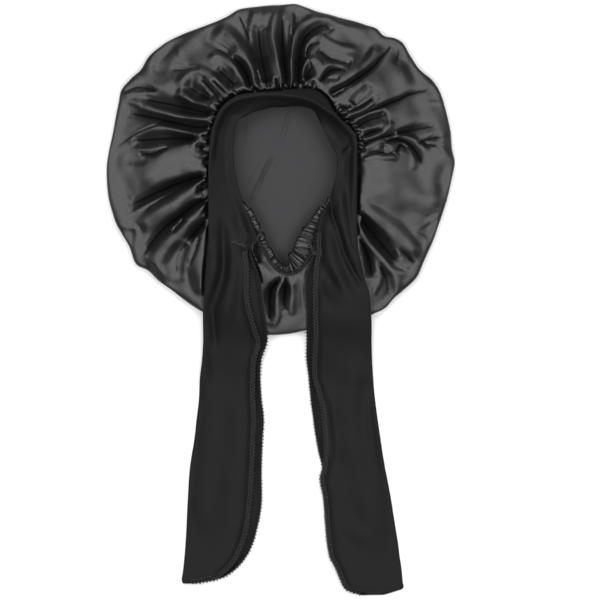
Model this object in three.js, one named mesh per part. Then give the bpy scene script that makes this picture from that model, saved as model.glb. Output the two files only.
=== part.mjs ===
// A hair bonnet of black satin lying flat on a table with its opening up, and its long knit tie band.
// Millimetres. X is to the right, Y runs from the ties to the top of the crown, Z is up from the table.
// The origin is on the table under the middle of the crown.
import * as THREE from "three";

// Heights of the crown's upper layer above the table.
const CROWN_WALL = 1.8;
const EDGE_HEIGHT = 5.5; // the outline, where the cloth turns under
const SHOULDER_HEIGHT = 12.5; // just inside the outline
const CREST_HEIGHT = 26; // the bunched cloth round the opening
const SEAM_HEIGHT = 22.4; // where the cloth is sewn to the band
const PRESSED_HEIGHT = 22.4; // the most that the cloth rises under the band and ties
const LOWEST_TOP = 9.5; // no valley of a fold sinks below this
const FULL_VALLEYS = 13; // valleys have their whole depth where the cloth is this much higher
const SHOULDER_REACH = 9; // from the outline in to the shoulder
const CREST_REACH = 18; // from the seam out to the crest
const UNDER_REACH = 7; // from the outline in to where the crown rests on the table
const FOLD_FADE = 9; // folds soften over this width inside the outline
const COVER_FADE = 6; // and over this width beside the band
const FOLD_SPREAD = 2; // a fold's reach to each side, in half widths
const STEEPEST_FOLD = 0.9; // the most that a fold rises or sinks over its reach

// The tie band is one knit strip folded in half along its outer edge, so it has two leaves.
const LEAF = 1.1;
const LEAF_GAP = 0.8;
const STACK = 2 * LEAF + LEAF_GAP;

// The nape casing is a gathered tube of satin over its elastic, along the seam between the ties.
const NAPE_FROM = 2.4; // rows of the seam's table
const NAPE_TO = 15.2;
const NAPE_GAP = 0.4;
const NAPE_MIDDLE_HEIGHT = 20.2;
const NAPE_HALF_HEIGHT = 2.9;
const NAPE_HALF_WIDTH = 3.8;
const NAPE_SPREAD = 3.6; // how much wider each half is where the casing lies flat
const NAPE_PUCKERS = 17;
const NAPE_PUCKER_DEPTH = 0.6;

const CROWN_COLUMNS = 164;
const FOLD_CENTRE = new THREE.Vector2(3, 25); // the folds fan out from above this point

// The crown's outline from above: x, y.
const OUTLINE = [
  [-153, 3], [-152, -19], [-149, -34], [-140, -57], [-133, -69], [-127, -84], [-116, -90],
  [-106, -100], [-92, -110], [-68, -126], [-49, -136], [-29, -142], [-11, -146], [8, -145],
  [24, -142], [43, -139], [63, -135], [79, -129], [92, -123], [100, -114], [119, -96],
  [123, -89], [128, -77], [135, -62], [141, -44], [147, -25], [151, -8], [153, 6],
  [150, 18], [149, 34], [145, 53], [140, 68], [133, 78], [122, 88], [114, 100],
  [107, 111], [100, 115], [91, 117], [84, 124], [73, 127], [59, 131], [33, 138],
  [21, 143], [13, 145.5], [0, 144], [-27, 142], [-37, 140], [-47, 134], [-71, 124],
  [-97, 114], [-107, 107], [-116, 98], [-123, 87], [-132, 79], [-140, 69], [-142, 59],
  [-148, 31], [-151, 18],
];

// The seam round the opening from above: x, y.
const SEAM = [
  [-52, -3], [-50, -17], [-43, -29], [-31, -42], [-24, -56], [-17, -71], [-9, -84],
  [-2, -91], [6, -94], [15, -92], [23, -84], [28, -76], [31, -65], [34, -54],
  [39, -42], [47, -32], [56, -19], [59, -4], [59, 12], [57, 25], [50, 36],
  [39, 47], [28, 54], [17, 58], [4, 59], [-11, 58], [-25, 56], [-36, 52],
  [-44, 44], [-49, 34], [-51, 21],
];

// The main folds of the crown's upper layer: the height (a valley's is negative), the half width at the
// start, middle and end, and the points that the fold passes through in plan.
const FOLD_COLUMNS = ["height", "first", "half", "last", "points"];
const FOLDS = [
  // top left
  [4.5, 2, 2.5, 2.5, [[-64, 92], [-53, 99.5], [-38, 86], [-30.5, 74], [-42, 62.5]]],
  [2.5, 1.5, 1.8, 1.5, [[-64, 90], [-54, 80], [-44, 69]]],
  [5, 3, 2.5, 2.5, [[-44, 61.5], [-56, 73], [-66, 84], [-79, 84.5], [-91, 70]]],
  [5, 4, 4, 3.5, [[-51, 55], [-75, 56], [-91, 70]]],
  [3, 4, 3.5, 3, [[-91, 70], [-103, 73], [-115, 83], [-114, 97], [-95, 113]]],
  [-5, 2, 4, 2, [[-56, 89], [-48, 83], [-40, 77]]],
  [-7, 5, 6, 2.5, [[-86, 73], [-72, 65], [-53, 60]]],
  [-4, 1.5, 2.5, 2, [[-70, 80], [-61, 70], [-52, 60]]],
  [-9, 3, 6.5, 4, [[-56, 46.5], [-90, 55], [-124, 62]]],
  [-6, 1.5, 3.2, 1, [[-138, 67.5], [-125, 71.5], [-107, 67]]],
  [5, 2, 2.5, 2, [[-55, 42.5], [-97, 48], [-139, 62]]],
  [-8, 2, 3.5, 3.5, [[-137, 50], [-110, 44], [-85, 38], [-72, 36], [-60, 37]]],
  [4.5, 2, 2.5, 2, [[-60, 30], [-76, 29.5], [-90, 33], [-112, 35], [-140, 21]]],
  [-9, 3, 6, 1, [[-131, 24], [-106, 26], [-70, 26.5]]],
  [-4, 1, 2, 1, [[-125, 13], [-113, 12.5], [-98, 19]]],
  [-5, 2, 2, 1.5, [[-60, 28], [-65, 28], [-70, 28.5]]],
  [-7, 4, 4, 2, [[-60, 18], [-67, 18], [-75, 20]]],
  [-3.5, 2.5, 4, 3, [[-70, 117], [-56, 111], [-37, 99]]],
  // top
  [4.5, 6, 4.5, 2.5, [[-60, 125], [-46, 114], [-31, 97], [-26, 84], [-19, 67]]],
  [-9, 1.5, 3, 2, [[-43, 98], [-33, 89], [-26, 70]]],
  [-10, 5, 7, 3, [[-20, 128], [-18, 105], [-11, 69]]],
  [3, 1.5, 2, 2, [[-22, 100], [-17, 86], [-13, 68]]],
  [-3, 1, 2, 1.5, [[-21, 88], [-19.5, 80], [-18, 71]]],
  [4, 1.8, 1.8, 1.5, [[-6, 67], [-6.5, 76], [-4, 83]]],
  [5.5, 2, 2.7, 2, [[-1, 67], [1.5, 80], [-2, 97], [-7, 118], [-1, 138], [8, 143]]],
  [-9, 1.5, 3.2, 1.7, [[2, 137], [1.5, 116], [3, 95], [5, 82], [5, 67]]],
  [5.5, 3, 2.8, 2, [[9, 68], [9.5, 90], [13, 111], [21, 126], [38, 133.5], [52, 127], [70, 120]]],
  [-10, 2.8, 3.5, 3, [[16, 69], [16.5, 88], [18.5, 108], [25, 120], [38, 126], [46, 118]]],
  [4, 1.5, 1.8, 2, [[20, 95], [21, 108], [31, 117], [45, 109.5], [55, 106], [70, 106]]],
  [-4, 2.5, 3.3, 2.5, [[32, 106], [45, 97.5], [63, 91]]],
  [4.5, 1.8, 1.8, 1.8, [[18, 76], [20, 89], [28, 95.5], [34, 92], [36, 85]]],
  [-9, 4, 4.5, 2.2, [[30, 90], [25, 86], [23, 75]]],
  [3.5, 1.5, 1.8, 1.2, [[25, 73], [27, 80], [30, 83]]],
  [-5, 1.5, 2, 2.5, [[29, 78], [28.5, 74], [30, 69]]],
  // top right
  [3.5, 1.5, 1.8, 1, [[34, 76], [41, 89], [52, 91], [63, 84]]],
  [-6, 1.5, 2.5, 1, [[34, 76], [44, 86], [57, 86.5]]],
  [4.5, 3.5, 3.5, 3, [[36, 73], [53, 75], [72, 90], [81, 99], [88, 110]]],
  [-7, 1.8, 1.8, 1.5, [[42, 65], [60, 74], [80, 88], [89, 98], [101, 112]]],
  [-4, 1, 2, 1, [[101, 91], [103, 98], [106, 108]]],
  [2.5, 6, 8, 8, [[62, 66], [90, 76], [118, 84]]],
  [-3, 2.5, 3.5, 2.5, [[80, 73], [72, 65], [62, 55]]],
  [-5, 2, 1.8, 1, [[50, 53.5], [57, 52.5], [64, 54]]],
  [4, 2, 2, 2, [[56, 46], [73, 53], [88, 67]]],
  [-8, 1.3, 1.8, 1.5, [[56, 41], [80, 50.5], [104, 60.5], [116, 66], [137, 70]]],
  [3, 2, 2, 2, [[62, 42], [80, 49.5], [95, 52]]],
  [-4, 2, 5, 3, [[84, 48], [89, 43], [96, 37]]],
  // right
  [-7, 1.5, 3.5, 2, [[68, 27], [78, 32], [93, 37]]],
  [3.5, 2, 2, 2, [[70, 24.5], [88, 30], [99, 42]]],
  [-6, 1.5, 4, 3, [[100, 30.5], [120, 34], [137, 38]]],
  [4.5, 2, 2, 2, [[72, 17], [88, 26], [104, 28.5], [118, 24], [132, 11]]],
  [-8, 1.5, 1.9, 2, [[90, 22], [103, 25.5], [114, 21], [120, 14], [127, 4]]],
  [-5, 1.5, 2.2, 1.5, [[101, 13], [106, 20], [112, 17.5]]],
  [-6, 2, 2.5, 1.5, [[68, 19], [68, 12], [69, 3]]],
  [-5, 1.5, 2.5, 1.5, [[91, 22], [91, 17], [92, 12]]],
  [3.5, 1.5, 2, 2, [[70, 7.5], [84, 10.5], [104, 10]]],
  [-2.5, 4, 6, 5, [[72, -3], [86, -2], [103, -4]]],
  [-8, 1.5, 3, 1.5, [[128, 24], [134, 26.5], [141, 29.5]]],
  [-6, 1, 2, 1, [[128, 23], [134, 20], [139, 17.5]]],
  [-4, 2.5, 2.5, 1.5, [[144, 24], [147, 18], [150, 13]]],
  // lower right
  [4, 3, 3, 2.5, [[69, -33], [98, -53.5], [123, -77]]],
  [-11, 2, 5.5, 4, [[67, -38], [82, -58], [104, -84]]],
  [-7, 1, 2, 2, [[103, -70], [111, -77], [120, -84]]],
  [5.5, 1.5, 2.3, 2.5, [[68, -46], [77, -62], [90, -79], [99, -90], [114, -93.5]]],
  [-10, 1, 2.3, 4, [[67, -58], [77, -77], [81, -97]]],
  [-6, 1, 2.5, 2.8, [[86, -82], [93, -98], [95, -117]]],
  [2.5, 1.5, 2, 1.5, [[89, -90], [86, -100], [80, -112]]],
  // lower left
  [4, 7, 10, 6, [[-72, 12], [-103, 5], [-143, -27]]],
  [-11, 2.5, 4.5, 5, [[-64, -5.5], [-97, -16], [-136, -34]]],
  [-2.5, 0.8, 1.8, 1, [[-82, -14.5], [-96, -22], [-121, -37]]],
  [4.5, 1.5, 5.5, 4, [[-65, -8], [-92, -29], [-126, -54]]],
  [-8, 5, 5, 2, [[-61, -16], [-67, -19], [-75, -20]]],
  [-9, 2, 2.9, 3, [[-61, -27], [-74, -31], [-88, -42], [-104, -54], [-122, -76]]],
  [-5, 2.5, 2.5, 1.5, [[-84, -42], [-89, -49], [-95, -56]]],
  [4.5, 3, 5, 4, [[-63, -31], [-84, -50], [-105, -75], [-107, -88], [-92, -103]]],
  [-8, 2, 2.5, 2.5, [[-61, -42], [-71, -52], [-82, -64]]],
  [-4, 3, 6, 4, [[-82, -64], [-91, -78], [-91, -98]]],
  [3.5, 2.5, 6, 4, [[-65, -48], [-70, -80], [-68, -114]]],
  // between the ties
  [-9, 1, 3.4, 1.5, [[3, -94], [-7, -105], [-9.5, -115], [-9.3, -124], [-10, -136]]],
  [4.5, 1, 1.8, 2, [[3, -94], [-3.5, -106], [-4, -120], [-3, -130], [-9, -141]]],
  [-8, 1, 2.8, 1, [[5, -94], [4.5, -104], [3.5, -116], [4, -127]]],
];

// Sections of the left tie, from its free end up. Across at y: the fold, the edge of the front leaf and
// the edge of the back leaf, with the height of the strip's underside.
const TIE_COLUMNS = ["y", "fold", "front", "back", "lift"];
const LEFT_TIE = [
  [-365, -86, -81, -78, 0],
  [-363, -87, -68, -64, 0],
  [-360, -87, -57, -52, 0],
  [-354, -86, -48, -42, 0],
  [-345, -85, -40, -33, 0],
  [-333, -84, -34, -26, 0],
  [-317, -83, -29, -21, 0],
  [-295, -82, -26, -17, 0],
  [-264, -80, -24, -17, 0],
  [-238, -76, -23, -16, 0],
  [-220, -74, -22, -15, 0],
  [-203, -72, -23, -17, 0],
  [-184, -71, -23, -18, 0.5],
  [-168, -69, -22, -17, 3],
  [-153, -68, -18, -12, 9],
  [-142, -68, -21, -12, 15.5],
  [-128, -68, -25, -14, 21.5],
  [-114, -67, -28, -16, 24],
  [-98, -66, -28, -18, 25],
  [-85, -65, -28, -22, 26],
  [-73, -64, -29, -26, 26],
];

// Sections of the band from the left tie round the top of the opening to the right tie: the fold, the
// sewn edge, the heights of both on top, and how far the outer leaf bulges out past the fold.
const BAND_COLUMNS = ["foldX", "foldY", "sewnX", "sewnY", "foldTop", "sewnTop", "bulge"];
const BAND = [
  [-63, -62, -21, -61, 31, 27, 0],
  [-63, -49, -25, -49, 33, 27, 0],
  [-63, -34, -31, -34, 34, 27, 0],
  [-63, -19, -36, -19, 35, 27, 0],
  [-63, -1, -40, -1, 35, 27, 0],
  [-62, 16, -41, 16, 35, 27, 0],
  [-61, 28, -40, 28, 35, 27, 0],
  [-58, 39, -39, 36, 36, 26, 0],
  [-54, 49, -36, 42, 36, 26, 0],
  [-47, 57, -31, 45, 37, 26, 0],
  [-37, 63, -23, 49, 38, 26, 0],
  [-26, 65, -15, 51, 38, 26, 0],
  [-13, 66, -7, 53, 38, 26, 0],
  [1, 66, 2, 53, 38, 26, 1],
  [15, 64, 13, 54, 38, 26, 5],
  [26, 61, 22, 53, 38, 26, 8],
  [35, 56, 29, 50, 38, 26, 7],
  [44, 50, 34, 41, 37, 26, 2],
  [53, 42, 39, 30, 36, 26, 0],
  [61, 35, 44, 20, 36, 26, 0],
  [66, 28, 49, 12, 35, 27, 0],
  [67, 18, 50, 6, 35, 27, 0],
  [67, 5, 49, -5, 35, 28, 0],
  [67, -12, 46, -16, 35, 28, 0],
];

// Sections of the right tie, from the band down to its free end, with the columns of the left tie.
const RIGHT_TIE = [
  [-32, 67, 42, 41, 27],
  [-40, 67, 36, 35, 27],
  [-50, 67, 33, 32, 27],
  [-63, 67.5, 32, 30, 26],
  [-74, 68.5, 32, 29, 26],
  [-85, 71, 30, 25, 26],
  [-98, 74, 29, 22, 25.5],
  [-111, 78, 29, 22, 24.5],
  [-128, 79.5, 29, 23, 21.5],
  [-140, 80, 29.5, 23, 15.5],
  [-151, 80, 29.5, 23, 9],
  [-168, 80.5, 28.5, 23, 3],
  [-184, 81.5, 29, 25, 0.5],
  [-196, 82.5, 32.5, 26, 0],
  [-213, 84.5, 36, 28, 0],
  [-234, 87.5, 38, 31, 0],
  [-251, 90, 38.5, 34, 0],
  [-263, 92, 37.5, 37, 0],
  [-273, 94, 35, 36, 0],
  [-289, 97, 38, 39, 0],
  [-308, 100, 39.5, 41, 0],
  [-330, 103.5, 41.5, 43, 0],
  [-342, 105, 44, 45, 0],
  [-352, 106.5, 49, 50, 0],
  [-363, 107.5, 53.5, 54.5, 0],
  [-369, 108, 57, 58, 0],
  [-372, 101, 63, 64, 0],
  [-375, 91, 72, 73, 0],
];

const lerp = THREE.MathUtils.lerp;
const clamp = THREE.MathUtils.clamp;
const radians = THREE.MathUtils.degToRad;

function smooth(from, to, value) {
  return THREE.MathUtils.smoothstep(value, from, to);
}

function named(rows, columns) {
  return rows.map((row) => Object.fromEntries(columns.map((column, i) => [column, row[i]])));
}

function closedCurve(points) {
  return new THREE.CatmullRomCurve3(
    points.map(([x, y]) => new THREE.Vector3(x, y, 0)),
    true,
  );
}

// A closed curve through points in plan as a function: the radius at an angle about the folds' centre.
function radiusAround(points) {
  const samples = closedCurve(points)
    .getPoints(points.length * 12)
    .map((p) => new THREE.Vector2(p.x, p.y).sub(FOLD_CENTRE))
    .map((p) => ({ angle: p.angle(), radius: p.length() }))
    .sort((a, b) => a.angle - b.angle);
  const first = samples[0];
  const last = samples[samples.length - 1];
  samples.push({ angle: first.angle + 2 * Math.PI, radius: first.radius });
  samples.unshift({ angle: last.angle - 2 * Math.PI, radius: last.radius });
  return (angle) => {
    const turned = THREE.MathUtils.euclideanModulo(angle, 2 * Math.PI);
    const next = samples.findIndex((s) => s.angle > turned);
    const [a, b] = [samples[next - 1], samples[next]];
    return lerp(a.radius, b.radius, (turned - a.angle) / Math.max(b.angle - a.angle, 1e-9));
  };
}

const outlineRadius = radiusAround(OUTLINE);
const seamRadius = radiusAround(SEAM);

// The folds' curves as short chains of points, with how far along the curve each one lies.
const CURVE_STEPS = 4;
const foldCurves = named(FOLDS, FOLD_COLUMNS).map((fold) => {
  const curve = new THREE.SplineCurve(fold.points.map(([x, y]) => new THREE.Vector2(x, y)));
  const chain = curve.getPoints(CURVE_STEPS * (fold.points.length - 1));
  const along = [0];
  for (let i = 1; i < chain.length; i++) along.push(along[i - 1] + chain[i].distanceTo(chain[i - 1]));
  return { ...fold, chain, along, length: along[chain.length - 1] };
});

// One fold's share of the height at a point: a rounded ridge, or a valley with a narrow floor.
function foldAt(fold, point) {
  let nearest = Infinity;
  let place = 0;
  for (let i = 0; i < fold.chain.length - 1; i++) {
    const a = fold.chain[i];
    const step = fold.chain[i + 1].clone().sub(a);
    const t = clamp(point.clone().sub(a).dot(step) / step.lengthSq(), 0, 1);
    const away = a.clone().addScaledVector(step, t).distanceTo(point);
    if (away < nearest) {
      nearest = away;
      place = lerp(fold.along[i], fold.along[i + 1], t);
    }
  }
  const share = place / fold.length;
  const halfWidth =
    share < 0.5 ? lerp(fold.first, fold.half, 2 * share) : lerp(fold.half, fold.last, 2 * share - 1);
  const reach = halfWidth * FOLD_SPREAD;
  if (nearest >= reach) return 0;
  const tip = smooth(0, 2.5 * fold.half, Math.min(place, fold.length - place));
  const size = Math.min(Math.abs(fold.height), STEEPEST_FOLD * reach) * tip;
  const u = nearest / reach;
  return fold.height > 0 ? size * (1 - u * u) ** 2 : -size * (1 - u) ** 1.5;
}

// Ridges that meet share one crest, and valleys one floor, so neither piles up.
function foldHeight(point, room) {
  let ridges = 0;
  let valleys = 0;
  for (const fold of foldCurves) {
    const height = foldAt(fold, point);
    if (height > 0) ridges += height ** 3;
    else valleys += (-height) ** 3;
  }
  return Math.cbrt(ridges) - Math.cbrt(valleys) * clamp(room / FULL_VALLEYS, 0, 1);
}

// Each section of the tie band: points in plan and the heights that the leaves are built from.
function tieSection(row) {
  return {
    fold: new THREE.Vector2(row.fold, row.y),
    front: new THREE.Vector2(row.front, row.y),
    back: new THREE.Vector2(row.back, row.y),
    foldTop: row.lift + STACK,
    edgeTop: row.lift + STACK,
    bulge: 0,
  };
}

function bandSection(row) {
  const fold = new THREE.Vector2(row.foldX, row.foldY);
  const sewn = new THREE.Vector2(row.sewnX, row.sewnY);
  return {
    fold,
    front: sewn,
    back: sewn.clone().lerp(fold, 0.05),
    foldTop: row.foldTop,
    edgeTop: row.sewnTop,
    bulge: row.bulge,
  };
}

const sections = [
  ...named(LEFT_TIE, TIE_COLUMNS).map(tieSection),
  ...named(BAND, BAND_COLUMNS).map(bandSection),
  ...named(RIGHT_TIE, TIE_COLUMNS).map(tieSection),
];

function outward(section) {
  return section.fold.clone().sub(section.front).normalize();
}

// The tie band's outline in plan, used to press the crown's folds flat under it.
const coverOutline = [
  ...sections.map((s) => s.fold.clone().addScaledVector(outward(s), s.bulge)),
  ...sections.map((s) => s.back).reverse(),
];

// One inside the tie band's outline, and fading to nothing beside it.
function covered(point) {
  let inside = false;
  let nearest = Infinity;
  coverOutline.forEach((b, i) => {
    const a = coverOutline[(i + coverOutline.length - 1) % coverOutline.length];
    if (a.y > point.y !== b.y > point.y) {
      const crossing = a.x + ((point.y - a.y) / (b.y - a.y)) * (b.x - a.x);
      if (crossing > point.x) inside = !inside;
    }
    const step = b.clone().sub(a);
    const t = clamp(point.clone().sub(a).dot(step) / Math.max(step.lengthSq(), 1e-9), 0, 1);
    nearest = Math.min(nearest, a.clone().addScaledVector(step, t).distanceTo(point));
  });
  return inside ? 1 : 1 - smooth(0, COVER_FADE, nearest);
}

// The crown's smooth profile at one angle, from the middle of its underside round the outline and back
// to the seam: distance from the folds' centre, height, and the outward normal in that plane.
function crownProfile(angle) {
  const edge = outlineRadius(angle);
  const seam = seamRadius(angle);
  const depth = edge - seam;
  const topAt = (inward) => {
    const round = Math.cbrt(1 - (1 - Math.min(inward / SHOULDER_REACH, 1)) ** 3);
    const ramp = clamp((inward - SHOULDER_REACH * 0.4) / (depth - CREST_REACH - SHOULDER_REACH * 0.4), 0, 1);
    const climb = (ramp + smooth(0, 1, ramp)) / 2;
    const dip = smooth(depth - CREST_REACH, depth, inward);
    return (
      EDGE_HEIGHT +
      (SHOULDER_HEIGHT - EDGE_HEIGHT) * round +
      (CREST_HEIGHT - SHOULDER_HEIGHT) * climb -
      (CREST_HEIGHT - SEAM_HEIGHT) * dip
    );
  };
  const flat = edge - UNDER_REACH;
  const points = [
    [flat, 0, 0, 0],
    [edge - UNDER_REACH * 0.3, EDGE_HEIGHT * 0.3, 0, 0.3],
    [edge, EDGE_HEIGHT, 0, 0.5],
  ];
  const shares = [0.03, 0.11, 0.23, 0.35, 0.47, 0.59, 0.71, 0.83, 1];
  shares.forEach((share) => points.push([edge - depth * share, topAt(depth * share), depth * share, 1]));
  return points.map(([radius, height, inward, folds], i) => {
    const before = points[Math.max(i - 1, 0)];
    const after = points[Math.min(i + 1, points.length - 1)];
    const normal = new THREE.Vector2(after[1] - before[1], before[0] - after[0]).normalize();
    const rests = i === 0;
    return {
      radius,
      height,
      normal: rests ? new THREE.Vector2(0, -1) : normal,
      folds: folds * (inward > 0 ? lerp(0.3, 1, smooth(0, FOLD_FADE, inward)) : 0.3),
    };
  });
}

// Two grids of points, an outer and an inner face of one wall, joined along their open borders.
// wrap closes the rows on themselves; poles close both faces at the first column. Each square is split
// along the diagonal that differs less in height, so that creases run on.
function wallGeometry(outer, inner, wrap, poles) {
  const positions = [];
  const triangles = [];
  const place = (grid) => grid.map((line) => line.map((p) => positions.push(p.x, p.y, p.z) / 3 - 1));
  const quad = (a, b, c, d) => triangles.push(a, c, b, a, d, c);
  const a = place(outer);
  const b = place(inner);
  const rows = outer.length;
  const columns = outer[0].length;
  for (let i = 0; i < (wrap ? rows : rows - 1); i++) {
    const n = (i + 1) % rows;
    for (let j = 0; j < columns - 1; j++) {
      const [rise, fall] = [outer[i][j].z - outer[n][j + 1].z, outer[i][j + 1].z - outer[n][j].z];
      if (Math.abs(rise) < Math.abs(fall)) {
        quad(a[i][j], a[i][j + 1], a[n][j + 1], a[n][j]);
        quad(b[i][j + 1], b[i][j], b[n][j], b[n][j + 1]);
      } else {
        quad(a[i][j + 1], a[n][j + 1], a[n][j], a[i][j]);
        quad(b[n][j + 1], b[i][j + 1], b[i][j], b[n][j]);
      }
    }
    quad(a[i][columns - 1], b[i][columns - 1], b[n][columns - 1], a[n][columns - 1]);
    if (!poles) quad(b[i][0], a[i][0], a[n][0], b[n][0]);
  }
  if (poles) {
    const [under, over] = poles.map((p) => positions.push(p.x, p.y, p.z) / 3 - 1);
    for (let i = 0; i < rows; i++) {
      const n = (i + 1) % rows;
      triangles.push(under, a[n][0], a[i][0]);
      triangles.push(over, b[i][0], b[n][0]);
    }
  }
  if (!wrap) {
    const last = rows - 1;
    for (let j = 0; j < columns - 1; j++) {
      quad(a[0][j + 1], a[0][j], b[0][j], b[0][j + 1]);
      quad(a[last][j], a[last][j + 1], b[last][j + 1], b[last][j]);
    }
  }
  const geometry = new THREE.BufferGeometry();
  geometry.setAttribute("position", new THREE.Float32BufferAttribute(positions, 3));
  geometry.setIndex(triangles);
  geometry.computeVertexNormals();
  return geometry;
}

function crownGeometry() {
  const outer = [];
  const inner = [];
  for (let i = 0; i < CROWN_COLUMNS; i++) {
    const angle = (i / CROWN_COLUMNS) * 2 * Math.PI;
    const ray = new THREE.Vector2(Math.cos(angle), Math.sin(angle));
    const lines = [[], []];
    for (const station of crownProfile(angle)) {
      const plan = FOLD_CENTRE.clone().addScaledVector(ray, station.radius);
      const cover = station.normal.y > 0 ? covered(plan) : 0;
      const pressed = Math.min(station.height, PRESSED_HEIGHT);
      const height = lerp(station.height, pressed, cover);
      const room = height - LOWEST_TOP;
      let raised = station.folds > 0 ? foldHeight(plan, room) * station.folds * (1 - cover) : 0;
      if (station.normal.y > 0.5) raised = Math.max(raised, -room);
      [raised, raised - CROWN_WALL].forEach((off, face) => {
        const at = plan.clone().addScaledVector(ray, station.normal.x * off);
        lines[face].push(new THREE.Vector3(at.x, at.y, height + station.normal.y * off));
      });
    }
    outer.push(lines[0]);
    inner.push(lines[1]);
  }
  const poles = [0, CROWN_WALL].map((z) => new THREE.Vector3(FOLD_CENTRE.x, FOLD_CENTRE.y, z));
  return wallGeometry(outer, inner, true, poles);
}

// The folded strip: the outer face runs over the front leaf, round the fold and back under the back leaf.
function tieBandGeometry() {
  const shares = [1, 0.62, 0.28, 0];
  const radius = STACK / 2;
  const outer = [];
  const inner = [];
  for (const section of sections) {
    const out = outward(section);
    const crest = section.fold.clone().addScaledVector(out, -radius);
    const turn = crest.clone().addScaledVector(out, section.bulge);
    const drop = section.bulge;
    const topAt = (share) => lerp(section.foldTop, section.edgeTop, share ** 0.9);
    const at = (end, share, z) => {
      const p = crest.clone().lerp(end, share);
      return new THREE.Vector3(p.x, p.y, z);
    };
    const round = (r, degrees) => {
      const p = turn.clone().addScaledVector(out, r * Math.cos(radians(degrees)));
      return new THREE.Vector3(p.x, p.y, section.foldTop - drop - radius + r * Math.sin(radians(degrees)));
    };
    const back = [...shares].reverse();
    outer.push([
      ...shares.map((s) => at(section.front, s, topAt(s))),
      ...[40, 0, -40].map((degrees) => round(radius, degrees)),
      ...back.map((s) => at(section.back, s, topAt(s) - STACK - (s === 0 ? drop : 0))),
    ]);
    inner.push([
      ...shares.map((s) => at(section.front, s, topAt(s) - LEAF)),
      ...[40, 0, -40].map((degrees) => round(radius - LEAF, degrees)),
      ...back.map((s) => at(section.back, s, topAt(s) - STACK + LEAF - (s === 0 ? drop : 0))),
    ]);
  }
  return wallGeometry(outer, inner, false, null);
}

// The gathered casing along the nape: a puckered tube just inside the crown's seam.
function napeCasingGeometry() {
  const steps = 51;
  const sides = 8;
  const seam = closedCurve(SEAM);
  const positions = [];
  const triangles = [];
  for (let i = 0; i <= steps; i++) {
    const share = i / steps;
    const at = lerp(NAPE_FROM, NAPE_TO, share) / SEAM.length;
    const tangent = seam.getTangent(at);
    const inward = new THREE.Vector3(-tangent.y, tangent.x, 0);
    const pucker = NAPE_PUCKER_DEPTH * Math.cos(share * NAPE_PUCKERS * 2 * Math.PI);
    const spread = NAPE_SPREAD * smooth(0.35, 0.6, share) * (1 - smooth(0.7, 0.95, share));
    const halfWidth = NAPE_HALF_WIDTH + spread + pucker;
    const halfHeight = NAPE_HALF_HEIGHT + pucker * 0.5;
    const middle = seam.getPoint(at).addScaledVector(inward, NAPE_GAP + halfWidth);
    for (let j = 0; j < sides; j++) {
      const turn = (j / sides) * 2 * Math.PI;
      const p = middle.clone().addScaledVector(inward, -halfWidth * Math.cos(turn));
      positions.push(p.x, p.y, NAPE_MIDDLE_HEIGHT + halfHeight * Math.sin(turn));
    }
  }
  for (let i = 0; i < steps; i++) {
    for (let j = 0; j < sides; j++) {
      const n = (j + 1) % sides;
      const [a, b] = [i * sides, (i + 1) * sides];
      triangles.push(a + j, b + j, b + n, a + j, b + n, a + n);
    }
  }
  const last = steps * sides;
  for (let j = 1; j < sides - 1; j++) {
    triangles.push(0, j, j + 1, last, last + j + 1, last + j);
  }
  const geometry = new THREE.BufferGeometry();
  geometry.setAttribute("position", new THREE.Float32BufferAttribute(positions, 3));
  geometry.setIndex(triangles);
  geometry.computeVertexNormals();
  return geometry;
}

const satin = new THREE.MeshStandardMaterial({ color: 0x2c2c2f, roughness: 0.4, metalness: 0 });
const knit = new THREE.MeshStandardMaterial({ color: 0x1b1b1c, roughness: 0.95, metalness: 0 });

function piece(name, geometry, material) {
  const mesh = new THREE.Mesh(geometry, material);
  mesh.name = name;
  return mesh;
}

const bonnet = new THREE.Group();
bonnet.add(piece("crown", crownGeometry(), satin));
bonnet.add(piece("nape_casing", napeCasingGeometry(), satin));
bonnet.add(piece("tie_band", tieBandGeometry(), knit));

export default bonnet;
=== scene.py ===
import math

import bpy
import numpy as np
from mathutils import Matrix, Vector


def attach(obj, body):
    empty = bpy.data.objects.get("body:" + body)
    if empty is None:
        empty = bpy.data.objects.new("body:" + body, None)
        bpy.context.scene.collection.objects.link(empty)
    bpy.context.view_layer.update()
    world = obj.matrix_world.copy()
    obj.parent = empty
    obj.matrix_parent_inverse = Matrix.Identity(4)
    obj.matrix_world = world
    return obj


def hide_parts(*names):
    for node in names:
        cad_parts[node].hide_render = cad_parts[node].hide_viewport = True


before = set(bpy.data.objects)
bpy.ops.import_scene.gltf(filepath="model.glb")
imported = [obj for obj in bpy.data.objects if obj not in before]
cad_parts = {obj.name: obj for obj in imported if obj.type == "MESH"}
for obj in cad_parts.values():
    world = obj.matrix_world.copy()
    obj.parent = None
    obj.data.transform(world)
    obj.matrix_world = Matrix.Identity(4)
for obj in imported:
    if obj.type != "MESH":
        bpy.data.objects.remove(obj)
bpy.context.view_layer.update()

MM = 0.001
FOLD_CENTRE = np.array([3.0, 25.0])

# Heights of the crown's upper layer above the table.
EDGE_HEIGHT = 5.5
SHOULDER_HEIGHT = 11.5
CREST_HEIGHT = 26
SEAM_HEIGHT = 22.4
PRESSED_HEIGHT = 21.8
LOWEST_TOP = 8

# Its smooth profile from the outline, over a round shoulder and a crest, to the seam.
SHOULDER_REACH = 9
SHOULDER_POWER = 4.5
CREST_REACH = 18
CLIMB_FROM = 0.2 * SHOULDER_REACH
COVER_FADE = 3
UNDER_REACH = 7

# Its mesh: the rows under the band, over the folds, round the shoulder and turned under.
CROWN_COLUMNS = 840
HIDDEN_ROWS = 4
FOLD_ROWS = 66
SHOULDER_ROWS = 12
UNDER_ROWS = 7
SHARP_FROM = 45

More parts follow.
